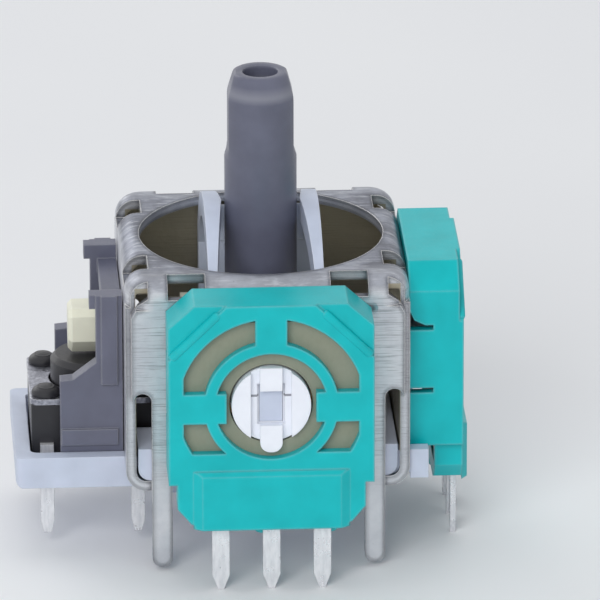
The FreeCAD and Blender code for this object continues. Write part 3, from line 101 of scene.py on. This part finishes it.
class Nodes:
    """The node tree of a material or of the world, with short calls for the nodes it needs."""

    def __init__(self, owner):
        owner.use_nodes = True
        self.owner = owner
        self.tree = owner.node_tree
        self.shader = self.tree.nodes.get("Principled BSDF")

    def add(self, kind, inputs=None, **settings):
        """Adds a node; an input is a number, a colour or another node's output."""
        node = self.tree.nodes.new(kind)
        for key, value in settings.items():
            setattr(node, key, value)
        for key, value in (inputs or {}).items():
            self.set(node, key, value)
        return node

    def set(self, node, key, value):
        """Sets or links one input."""
        if isinstance(value, bpy.types.NodeSocket):
            self.tree.links.new(value, node.inputs[key])
        else:
            node.inputs[key].default_value = value

    def shade(self, **values):
        """Sets or links the shader's inputs by name."""
        for key, value in values.items():
            self.set(self.shader, key.replace("_", " "), value)

    def here(self):
        """The piece's own coordinates, in metres."""
        return self.add("ShaderNodeTexCoord").outputs["Object"]

    def normal(self):
        """The surface's direction."""
        return self.add("ShaderNodeNewGeometry").outputs["Normal"]

    def split(self, vector):
        """The X, Y and Z of a vector."""
        return tuple(self.add("ShaderNodeSeparateXYZ", {"Vector": vector}).outputs)

    def noise(self, scale, detail, stretch=(1, 1, 1), roughness=0.5):
        """A noise with features of about 1/scale mm, closer together along a stretched axis."""
        mapping = self.add("ShaderNodeMapping", {"Vector": self.here()})
        mapping.inputs["Scale"].default_value = [part / MM for part in stretch]
        node = self.add("ShaderNodeTexNoise", {"Vector": mapping.outputs["Vector"], "Scale": scale,
                                               "Detail": detail, "Roughness": roughness})
        return node.outputs["Fac"]

    def between(self, value, low, high, start=0.0, end=1.0):
        """Maps a value from low..high onto start..end and holds it there beyond them."""
        node = self.add("ShaderNodeMapRange", {"Value": value, "From Min": low, "From Max": high,
                                               "To Min": start, "To Max": end})
        return node.outputs["Result"]

    def math(self, operation, first, second=0.0):
        """One arithmetic step."""
        return self.add("ShaderNodeMath", {0: first, 1: second}, operation=operation).outputs[0]

    def times(self, first, *others):
        """The product of all values."""
        for value in others:
            first = self.math("MULTIPLY", first, value)
        return first

    def mix(self, share, first, second):
        """A colour between two, by a share."""
        node = self.add("ShaderNodeMix", data_type="RGBA")
        for index, value in ((MIX_SHARE, share), (MIX_FIRST, first), (MIX_SECOND, second)):
            self.set(node, index, value)
        return node.outputs[MIX_RESULT]

    def coats(self, body, *coats):
        """A colour under one or more coats, each with its share and its colour."""
        for share, colour in coats:
            body = self.mix(share, body, colour)
        return body

    def edge(self, radius, low, high):
        """1 along the sharp edges and 0 on the faces."""
        soft = self.add("ShaderNodeBevel", {"Radius": radius * MM}, samples=BEVEL_SAMPLES)
        dot = self.add("ShaderNodeVectorMath", {0: soft.outputs["Normal"], 1: self.normal()},
                       operation="DOT_PRODUCT")
        return self.between(self.math("SUBTRACT", 1.0, dot.outputs["Value"]), low, high)

    def bump(self, height, rounding):
        """Joins a height and a rounding of the edges, in millimetres, to the shader's normal."""
        soft = self.add("ShaderNodeBevel", {"Radius": rounding * MM}, samples=BEVEL_SAMPLES)
        node = self.add("ShaderNodeBump", {"Height": height, "Distance": MM, "Strength": 1.0,
                                           "Normal": soft.outputs["Normal"]})
        self.set(self.shader, "Normal", node.outputs["Normal"])


def upper(n, low, high):
    """0 below one height and 1 above another, in millimetres."""
    return n.between(n.split(n.here())[2], low * MM, high * MM)


def crown_highlight_band(n):
    """1 on the band where the stick starts to taper, where a highlight is painted, and 0 above and
    below it.
    """
    fade_in, fade_out = (19.1, 19.4), (19.5, 19.9)
    return n.times(upper(n, *fade_in), n.math("SUBTRACT", 1.0, upper(n, *fade_out)))


def rotor_slit_shade(n):
    """1 on the short slits at both sides of a rotor's tongue, which are painted dark as shade, and 0
    elsewhere.
    """
    slit_height, half_width, near_end, far_end = 6.78, 0.06, 0.62, 0.99
    x, y, z = n.split(n.here())
    across = n.math("MINIMUM", n.math("ABSOLUTE", x), n.math("ABSOLUTE", y))
    level = n.math("ABSOLUTE", n.math("SUBTRACT", z, slit_height * MM))
    return n.times(n.math("LESS_THAN", level, half_width * MM),
                   n.math("LESS_THAN", across, far_end * MM),
                   n.math("GREATER_THAN", across, near_end * MM))


def inside_frame(n):
    """1 on the frame's inner faces, which take a painted shade and reflection, and 0 outside."""
    reach_limit, lowest, highest = 6.53, 2.6, 11.42
    x, y, z = n.split(n.here())
    reach = n.math("MAXIMUM", n.math("ABSOLUTE", x), n.math("ABSOLUTE", y))
    return n.times(n.math("LESS_THAN", reach, reach_limit * MM),
                   n.math("GREATER_THAN", z, lowest * MM),
                   n.math("LESS_THAN", z, highest * MM))


def beside_bend(n):
    """0 in the middle of the plate and 1 in the strips beside its front and back bends, where a
    highlight is painted.
    """
    strip_start, strip_full = 5.0, 6.0
    depth = n.math("ABSOLUTE", n.split(n.here())[1])
    return n.between(depth, strip_start * MM, strip_full * MM)


def dimple(n, place, radius):
    """1 in the middle of a small round mark, down to 0 at its radius."""
    centre = [part * MM for part in place]
    gap = n.add("ShaderNodeVectorMath", {0: n.here(), 1: centre}, operation="DISTANCE")
    return n.between(gap.outputs["Value"], 0.0, radius * MM, 1.0, 0.0)


def moulded(name, colour, rough, tint, highlight_strength, rounding=0.06, through=0.0, gloss=0.5, highlight_width=0.11,
            slits=False, crown=False):
    """Injection-moulded plastic: slight cloudiness, fine grain, rounded edges and a painted highlight
    along them.

    tint is how far the colour strays, the painted highlight along the edges has a strength and a
    width, and through is how much light enters. slits paints shade into the rotors' slits and crown
    paints a highlight band on the stick.
    """
    grain, highlight_lift, highlight_band_share, slit_shade_share, scatter = 0.006, 0.35, 0.28, 0.75, 0.3
    n = Nodes(bpy.data.materials.new(name))
    cloud = n.noise(0.6, 3.0)
    fine = n.noise(14.0, 4.0)
    dark = [part * (1 - tint * 2) for part in colour[:3]] + [1]
    light = [min(1, part * (1 + tint * 2) + tint * 0.05) for part in colour[:3]] + [1]
    # a paler copy of the colour for the painted highlights along the edges and on the stick
    highlight_colour = [part + (1 - part) * highlight_lift for part in colour[:3]] + [1]
    body = n.coats(n.mix(n.between(cloud, *NOISE_RANGE), dark, light),
                   (n.between(fine, 0.35, 0.75, 0.0, tint * 3), light),
                   # a painted highlight along the edges
                   (n.times(n.edge(highlight_width, 0.01, 0.2), highlight_strength), highlight_colour))
    # a painted highlight band where the stick starts to taper
    if crown:
        body = n.mix(n.times(crown_highlight_band(n), highlight_band_share), body, highlight_colour)
    # painted shade in the rotors' slits
    if slits:
        body = n.mix(n.times(rotor_slit_shade(n), slit_shade_share), body, rgb(90, 92, 100))
    n.shade(Base_Color=body, Roughness=n.between(fine, *NOISE_RANGE, rough - 0.06, rough + 0.08),
            Specular_IOR_Level=gloss)
    if through:
        n.shade(Subsurface_Weight=through, Subsurface_Radius=(1.0, 1.0, 1.0),
                Subsurface_Scale=scatter * MM)
    height = n.math("ADD", n.times(n.noise(22.0, 3.0), grain), n.times(cloud, grain * 2))
    n.bump(height, rounding)
    return n.owner


# Colours of the sheet. Painted light and shade among them: the split between top and wall tones, the
# lighter band beside the bends, the dark reflection along the edges, the bright edge highlight, the
# dark of the dent and the inner tint.
SHEET_COLOURS = {
    "shaded_top_dark": rgb(104, 107, 119), "shaded_top_light": rgb(158, 162, 174),
    "scuff_dark": rgb(92, 94, 104), "scuff_pale": rgb(206, 209, 216), "strip_highlight": rgb(214, 217, 224),
    "lit_side_dark": rgb(206, 208, 214), "lit_side_light": rgb(228, 229, 233), "groove": rgb(104, 104, 108),
    "speck": rgb(118, 119, 126), "dent": rgb(84, 84, 88), "outline": rgb(70, 72, 80),
    "rim": rgb(252, 251, 249), "inside": rgb(170, 160, 134),
}


def tinned_sheet(name):
    """Tinned steel sheet: drawn lines along the walls and a scuffed, cloudy top.

    Painted light and shade: the top darker and the walls lighter by which way they face, a lighter
    band beside the front and back bends, a dark reflection along the bends and edges, a bright
    highlight on the cut edges, shade in the small dent and a brownish shade and reflection on the
    inner faces.
    """
    dent_place, dent_radius = (5.05, -7.0, 10.35), 0.34
    strip_highlight_share, groove_share, outline_share, rim_share, inside_shade_share = 0.3, 0.5, 0.78, 0.9, 0.8
    outline_width, rim_width, rounding = 0.42, 0.07, 0.09
    line_height, fine_height, scuff_height, wave_height, dent_depth = 0.01, 0.005, 0.008, 0.04, 0.08
    colours = SHEET_COLOURS
    n = Nodes(bpy.data.materials.new(name))
    lines = n.noise(1.0, 5.0, stretch=(0.45, 0.45, 18.0), roughness=0.6)
    fine = n.noise(1.0, 4.0, stretch=(1.2, 1.2, 30.0), roughness=0.65)
    cloud = n.noise(0.55, 5.0, roughness=0.6)
    scuffs = n.noise(1.0, 5.0, stretch=(0.8, 4.5, 2.0), roughness=0.7)
    specks = n.noise(5.0, 6.0, roughness=0.7)
    flat_top = n.between(n.math("ABSOLUTE", n.split(n.normal())[2]), 0.15, 0.6)
    wall = n.math("SUBTRACT", 1.0, flat_top)
    grooves = n.times(n.between(lines, 0.5, 0.62), n.between(fine, 0.4, 0.6, 0.3, 1.0), wall,
                      upper(n, 0.5, 3.5))
    dent = dimple(n, dent_place, dent_radius)
    # a painted dark reflection along the bends and edges
    outline = n.edge(outline_width, 0.01, 0.1)
    # a painted bright highlight on the cut edges, kept off the lowest part
    rim = n.times(n.edge(rim_width, 0.03, 0.18), upper(n, 0.0, 0.6))
    # the top is painted darker and the walls lighter by which way they face: painted shade and light
    top = n.coats(n.mix(n.between(cloud, 0.38, 0.62), colours["shaded_top_dark"], colours["shaded_top_light"]),
                  (n.between(scuffs, 0.52, 0.68, 0.0, 0.5), colours["scuff_dark"]),
                  (n.between(scuffs, 0.34, 0.46, 0.6, 0.0), colours["scuff_pale"]),
                  # the band beside the front and back bends is painted lighter: a painted highlight
                  (n.times(beside_bend(n), strip_highlight_share), colours["strip_highlight"]))
    side = n.coats(n.mix(n.between(cloud, 0.34, 0.66), colours["lit_side_dark"], colours["lit_side_light"]),
                   (n.times(grooves, groove_share), colours["groove"]))
    body = n.coats(n.mix(flat_top, side, top),
                   (n.between(specks, 0.62, 0.74, 0.0, 0.45), colours["speck"]),
                   # the small dent is also painted darker: painted shade
                   (n.between(dent, 0.2, 0.6, 0.0, 0.7), colours["dent"]),
                   # the painted dark reflection along the edges
                   (n.times(outline, outline_share), colours["outline"]),
                   # the painted bright highlight on the cut edges
                   (n.times(rim, rim_share), colours["rim"]),
                   # the inner faces take a painted brownish shade and reflection
                   (n.times(inside_frame(n), inside_shade_share), colours["inside"]))
    rough = n.between(cloud, *NOISE_RANGE, 0.34, 0.5)
    n.shade(Base_Color=body, Roughness=n.math("ADD", rough, n.times(grooves, 0.15)), Metallic=0.85,
            Anisotropic=0.3)
    height = n.times(n.math("ADD", n.times(lines, line_height), n.times(fine, fine_height)), wall)
    height = n.math("ADD", height, n.times(scuffs, flat_top, scuff_height))
    height = n.math("ADD", height, n.times(cloud, wave_height))
    height = n.math("SUBTRACT", height, n.times(dent, dent_depth))
    n.bump(height, rounding)
    return n.owner


def bare_metal(name, dark, light, rough, stretch=(1, 1, 1), depth=0.003, rim=rgb(245, 245, 245),
               metallic=1.0):
    """Plated or drawn metal: fine lines, closer along a stretched axis, and a painted reflection
    along the edges, a bright highlight or a dark one by its colour.
    """
    rim_width, rim_share, rough_spread, rounding = 0.07, 0.5, 0.07, 0.05
    n = Nodes(bpy.data.materials.new(name))
    lines = n.noise(6.0, 4.0, stretch=stretch, roughness=0.6)
    cloud = n.noise(1.5, 3.0)
    # the edges take a painted reflection: a bright highlight by default, a dark one on the pins
    body = n.coats(n.mix(n.between(lines, 0.35, 0.65), dark, light),
                   (n.times(n.edge(rim_width, 0.02, 0.25), rim_share), rim))
    uneven = n.between(cloud, *NOISE_RANGE, rough - rough_spread, rough + rough_spread)
    n.shade(Base_Color=body, Roughness=uneven, Metallic=metallic)
    n.bump(n.times(lines, depth), rounding)
    return n.owner


def laminate(name):
    """Paper laminate of the resistor boards: fibres and a dull, patchy surface."""
    fibre_height, rounding = 0.012, 0.03
    n = Nodes(bpy.data.materials.new(name))
    fibres = n.noise(2.5, 6.0, stretch=(2.0, 2.0, 1.2), roughness=0.65)
    cloud = n.noise(0.5, 3.0)
    body = n.coats(n.mix(n.between(fibres, 0.3, 0.75), rgb(138, 140, 121), rgb(147, 148, 130)),
                   (n.between(cloud, 0.35, 0.7, 0.0, 0.4), rgb(142, 148, 134)))
    n.shade(Base_Color=body, Roughness=n.between(fibres, *NOISE_RANGE, 0.5, 0.68))
    n.bump(n.times(fibres, fibre_height), rounding)
    return n.owner


GREY = dict(colour=rgb(97, 99, 116), rough=0.36, tint=0.05, highlight_strength=0.55, rounding=0.1)
# each plastic's painted edge highlight has its own strength, and the teal its own width
PLASTICS = {
    "base_plastic": dict(colour=rgb(198, 205, 222), rough=0.45, tint=0.03, highlight_strength=0.4, through=0.1),
    "grey_plastic": GREY,
    "stick_plastic": dict(GREY, crown=True),
    "seat_plastic": dict(colour=rgb(222, 224, 228), rough=0.42, tint=0.03, highlight_strength=0.2, through=0.1),
    "arch_plastic": dict(colour=rgb(196, 204, 222), rough=0.4, tint=0.03, highlight_strength=0.85, through=0.1),
    "ivory_plastic": dict(colour=rgb(233, 232, 213), rough=0.4, tint=0.03, highlight_strength=0.3, through=0.15),
    "teal_plastic": dict(colour=rgb(6, 184, 189), rough=0.34, tint=0.035, highlight_strength=0.42, rounding=0.14,
                         gloss=0.32, highlight_width=0.2),
    "white_plastic": dict(colour=rgb(238, 241, 250), rough=0.38, tint=0.02, highlight_strength=0.2, through=0.2,
                          slits=True),
    "black_plastic": dict(colour=rgb(38, 38, 42), rough=0.4, tint=0.08, highlight_strength=0.12),
}
METALS = {
    # the pins' edges take a painted dark reflection
    "pin_metal": dict(dark=rgb(222, 223, 227), light=rgb(242, 242, 245), rough=0.32,
                      stretch=(1, 1, 0.25), depth=0.001, rim=rgb(104, 104, 110), metallic=0.5),
    "switch_metal": dict(dark=rgb(128, 130, 141), light=rgb(186, 188, 198), rough=0.34),
    "spring_steel": dict(dark=rgb(140, 138, 134), light=rgb(200, 198, 194), rough=0.3),
    "spring_bronze": dict(dark=rgb(176, 140, 84), light=rgb(222, 190, 130), rough=0.3),
}
MATERIALS = {"tinned_steel": tinned_sheet("tinned_steel")}
MATERIALS.update({name: moulded(name, **look) for name, look in PLASTICS.items()})
MATERIALS["board_laminate"] = laminate("board_laminate")
MATERIALS.update({name: bare_metal(name, **look) for name, look in METALS.items()})

SLOT_OF = {part["node"]: part["material_slot"] for part in frame["record"]["subparts"]}


def dress(piece, material):
    """Gives a piece one material."""
    piece.data.materials.clear()
    piece.data.materials.append(material)


def lofted(name, forms, slot_name, body=None, material=None):
    """A piece of one or more forms through rings of points, capped or closed on themselves."""
    points = []
    faces = []
    for rings, closed in forms:
        count = len(rings[0])
        start = len(points)
        points += [[part * MM for part in point] for ring in rings for point in ring]
        for level in range(len(rings) if closed else len(rings) - 1):
            near = start + level * count
            far = start + (level + 1) % len(rings) * count
            for index in range(count):
                after = (index + 1) % count
                faces.append((near + index, near + after, far + after, far + index))
        if not closed:
            last = start + (len(rings) - 1) * count
            faces.append(tuple(reversed(range(start, start + count))))
            faces.append(tuple(range(last, last + count)))
    mesh = bpy.data.meshes.new(name)
    mesh.from_pydata(points, [], faces)
    work = bmesh.new()
    work.from_mesh(mesh)
    bmesh.ops.recalc_face_normals(work, faces=work.faces)
    work.to_mesh(mesh)
    work.free()
    mesh.polygons.foreach_set("use_smooth", [True] * len(mesh.polygons))
    mesh.set_sharp_from_angle(angle=SHARP_ANGLE)
    piece = bpy.data.objects.new(name, mesh)
    bpy.context.scene.collection.objects.link(piece)
    dress(piece, MATERIALS[material or slot_name])
    if body:
        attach(piece, body)
    return piece


def circle(centre, radius, steps, flat=None):
    """Points of a level circle, cut by two flats where a distance to them is given."""
    x, y, z = centre
    flat = radius if flat is None else flat
    angles = [FULL_TURN * step / steps for step in range(steps)]
    return [(x + max(-flat, min(flat, radius * math.cos(angle))), y + radius * math.sin(angle), z)
            for angle in angles]


def quarter_turned(rings):
    """The rings of a form on the front, as they stand on the right side."""
    return [[(-y, x, z) for x, y, z in ring] for ring in rings]


STICK_SIDES, TRUNNION_SIDES = 96, 32
STICK_FORM = (  # height, radius and distance to the flats, None where the stick is round
    (3.85, 0.80, None), (3.87, 0.87, None), (4.66, 1.68, None), (4.74, 1.76, None),
    (4.85, 1.79, None), (15.95, 1.79, 1.79), (16.0, 1.79, 1.76), (16.4, 1.79, 1.63),
    (16.5, 1.79, 1.61), (19.0, 1.79, 1.61), (19.2, 1.77, 1.60), (19.4, 1.71, 1.56),
    (20.0, 1.50, 1.40), (20.2, 1.43, 1.34), (20.3, 1.37, 1.30), (20.35, 1.28, 1.22),
    (20.35, 0.95, None), (20.32, 0.89, None), (20.26, 0.86, None), (20.2, 0.85, None),
    (17.35, 0.85, None),
)
TRUNNION_FORM = ((-2.9, 0.74), (-2.86, 0.8), (2.86, 0.8), (2.9, 0.74))  # depth and radius


def make_stick():
    """The stick with its tapered crown, its top hole and the slopes where its flats start."""
    post = [circle((0, 0, height), radius, STICK_SIDES, flat)
            for height, radius, flat in STICK_FORM]
    trunnions = [[(x, depth, PIVOT_HEIGHT + y)
                  for x, y, _ in circle((0, 0, 0), radius, TRUNNION_SIDES)]
                 for depth, radius in TRUNNION_FORM]
    piece = lofted("stick_post", [(post, False), (trunnions, False)], "grey_plastic", "stick",
                   "stick_plastic")
    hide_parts("stick")


def make_slot_lips():
    """The lips of the rotors' slots, which close on the tongues."""
    outside = (0.668, 1.048)  # half the width and half the height
    inside = (0.59, 0.968)
    front, back = -9.18, -8.9
    rings = []
    for depth, (half, high) in ((front, outside), (front, inside), (back, inside), (back, outside)):
        low, top = PIVOT_HEIGHT - high, PIVOT_HEIGHT + high
        rings.append([(-half, depth, low), (half, depth, low), (half, depth, top),
                      (-half, depth, top)])
    lofted("front_slot_lip", [(rings, True)], "white_plastic", "arch")
    lofted("side_slot_lip", [(quarter_turned(rings), True)], "white_plastic", "side_rotor")


def make_corner_ribs():
    """Rounded ribs along the diagonal edges of both housings' raised faces."""
    face = -9.75
    ends = (4.93, 8.86), (2.52, 11.21)
    taper = ((0.0, 0.3), (0.02, 0.75), (0.06, 1.0), (0.94, 1.0), (0.98, 0.75), (1.0, 0.3))
    radius, sunk, sides = 0.24, 0.15, 16
    length = math.dist(*ends)
    along = [(second - first) / length for first, second in zip(*ends)]
    front = []
    side = []
    for mirror in (-1, 1):
        rings = []
        for share, size in taper:
            middle = [first + (second - first) * share for first, second in zip(*ends)]
            ring = []
            for step in range(sides):
                angle = FULL_TURN * step / sides
                across = radius * size * math.cos(angle)
                depth = face + sunk - radius * size * math.sin(angle)
                ring.append((mirror * (middle[0] - along[1] * across), depth,
                             middle[1] + along[0] * across))
            rings.append(ring)
        front.append((rings, False))
        side.append((quarter_turned(rings), False))
    lofted("front_corner_ribs", front, "teal_plastic", "module")
    lofted("side_corner_ribs", side, "teal_plastic", "module")


def make_stake_domes():
    """Melted, rounded heads on the switch's four stakes."""
    foot_height, foot_radius = 4.4, 0.71
    dome_height, dome_rise, dome_radius = 4.5, 0.4, 0.72
    levels, levels_to_top, sides = 9, 8.3, 40
    columns, rows = (-10.8, -6.3), (-2.25, 2.25)
    forms = []
    for x in columns:
        for y in rows:
            rings = [circle((x, y, foot_height), foot_radius, sides)]
            for level in range(levels):
                angle = math.pi / 2 * level / levels_to_top
                rings.append(circle((x, y, dome_height + dome_rise * math.sin(angle)),
                                    dome_radius * math.cos(angle), sides))
            forms.append((rings, False))
    lofted("stake_domes", forms, "black_plastic", "module")


def make_coil():
    """The return spring as a true coil with closed ends."""
    low, high = 1.68, 4.58
    wire, radius, turns, steps, sides = 0.22, 2.3, 3.6, 180, 16
    climb_rate, level_end = 1.25, 0.125  # the first and last tenth of the wire stay level
    rings = []
    for step in range(steps + 1):
        share = step / steps
        angle = FULL_TURN * turns * share
        height = low + (high - low) * max(0.0, min(1.0, share * climb_rate - level_end))
        ring = []
        for side in range(sides):
            around = FULL_TURN * side / sides
            reach = radius + wire * math.cos(around)
            ring.append((reach * math.cos(angle), reach * math.sin(angle),
                         height + wire * math.sin(around)))
        rings.append(ring)
    coil = lofted("return_coil", [(rings, False)], "spring_steel")
    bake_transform(coil)
    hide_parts("return_spring")


def make_floor():
    """A plain pale floor under the pins."""
    reach = 3.0
    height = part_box("front_pot_pins")[0].z
    corners = [(x * reach, y * reach, height) for x, y in ((-1, -1), (1, -1), (1, 1), (-1, 1))]
    mesh = bpy.data.meshes.new("floor")
    mesh.from_pydata(corners, [], [(0, 1, 2, 3)])
    floor = bpy.data.objects.new("floor", mesh)
    bpy.context.scene.collection.objects.link(floor)
    n = Nodes(bpy.data.materials.new("floor"))
    cloud = n.between(n.noise(0.02, 2.0), *NOISE_RANGE)
    n.shade(Base_Color=n.mix(cloud, rgb(238, 238, 240), rgb(243, 243, 244)), Roughness=0.75)
    dress(floor, n.owner)


def make_world():
    """An even surround that looks nearly white to the camera and in reflections."""
    world = bpy.data.worlds.new("surround")
    bpy.context.scene.world = world
    n = Nodes(world)
    n.tree.nodes.clear()
    path = n.add("ShaderNodeLightPath").outputs
    seen = n.math("MAXIMUM", path["Is Glossy Ray"], path["Is Transmission Ray"])
    seen = n.math("MAXIMUM", path["Is Camera Ray"], seen)
    ambient, white = (n.add("ShaderNodeBackground", {"Color": colour, "Strength": strength})
                      for colour, strength in ((AMBIENT_COLOUR, AMBIENT_STRENGTH),
                                               (SEEN_COLOUR, SEEN_STRENGTH)))
    blend = n.add("ShaderNodeMixShader", {0: seen, 1: ambient.outputs[0], 2: white.outputs[0]})
    n.add("ShaderNodeOutputWorld", {"Surface": blend.outputs[0]})


def make_camera():
    """A camera with the place, turn and focal length that were fitted to the photograph."""
    back = Vector((math.sin(AZIMUTH) * math.cos(ELEVATION),
                   -math.cos(AZIMUTH) * math.cos(ELEVATION), math.sin(ELEVATION)))
    level = Vector((math.cos(AZIMUTH), math.sin(AZIMUTH), 0))
    upward = back.cross(level)
    right = level * math.cos(ROLL) + upward * math.sin(ROLL)
    top = upward * math.cos(ROLL) - level * math.sin(ROLL)
    data = bpy.data.cameras.new("camera")
    data.sensor_width = SENSOR
    data.lens = FOCAL_PIXELS / IMAGE_PIXELS * SENSOR
    data.clip_start = CLIP_START
    data.clip_end = CLIP_END
    camera = bpy.data.objects.new("camera", data)
    turn = Matrix((right, top, back)).transposed().to_4x4()
    camera.matrix_world = Matrix.Translation(CAMERA_PLACE) @ turn
    bpy.context.scene.collection.objects.link(camera)
    bpy.context.scene.camera = camera


def add_light(name, place, size, power, mirrored):
    """A soft square lamp that points at the module; metal mirrors it or not."""
    lamp = bpy.data.lights.new(name, "AREA")
    lamp.shape = "SQUARE"
    lamp.size = size
    lamp.energy = power
    holder = bpy.data.objects.new(name, lamp)
    holder.location = place
    holder.rotation_mode = "QUATERNION"
    direction = Vector(CENTRE) - Vector(place)
    holder.rotation_quaternion = direction.to_track_quat("-Z", "Y")
    holder.visible_glossy = mirrored
    bpy.context.scene.collection.objects.link(holder)


for node, piece in frame["nodes"].items():
    dress(piece, MATERIALS[SLOT_OF[node]])

make_stick()
make_slot_lips()
make_corner_ribs()
make_stake_domes()
make_coil()

make_floor()
make_world()
make_camera()
for lamp in LAMPS:
    add_light(*lamp)

bpy.context.scene.view_settings.view_transform = "Standard"
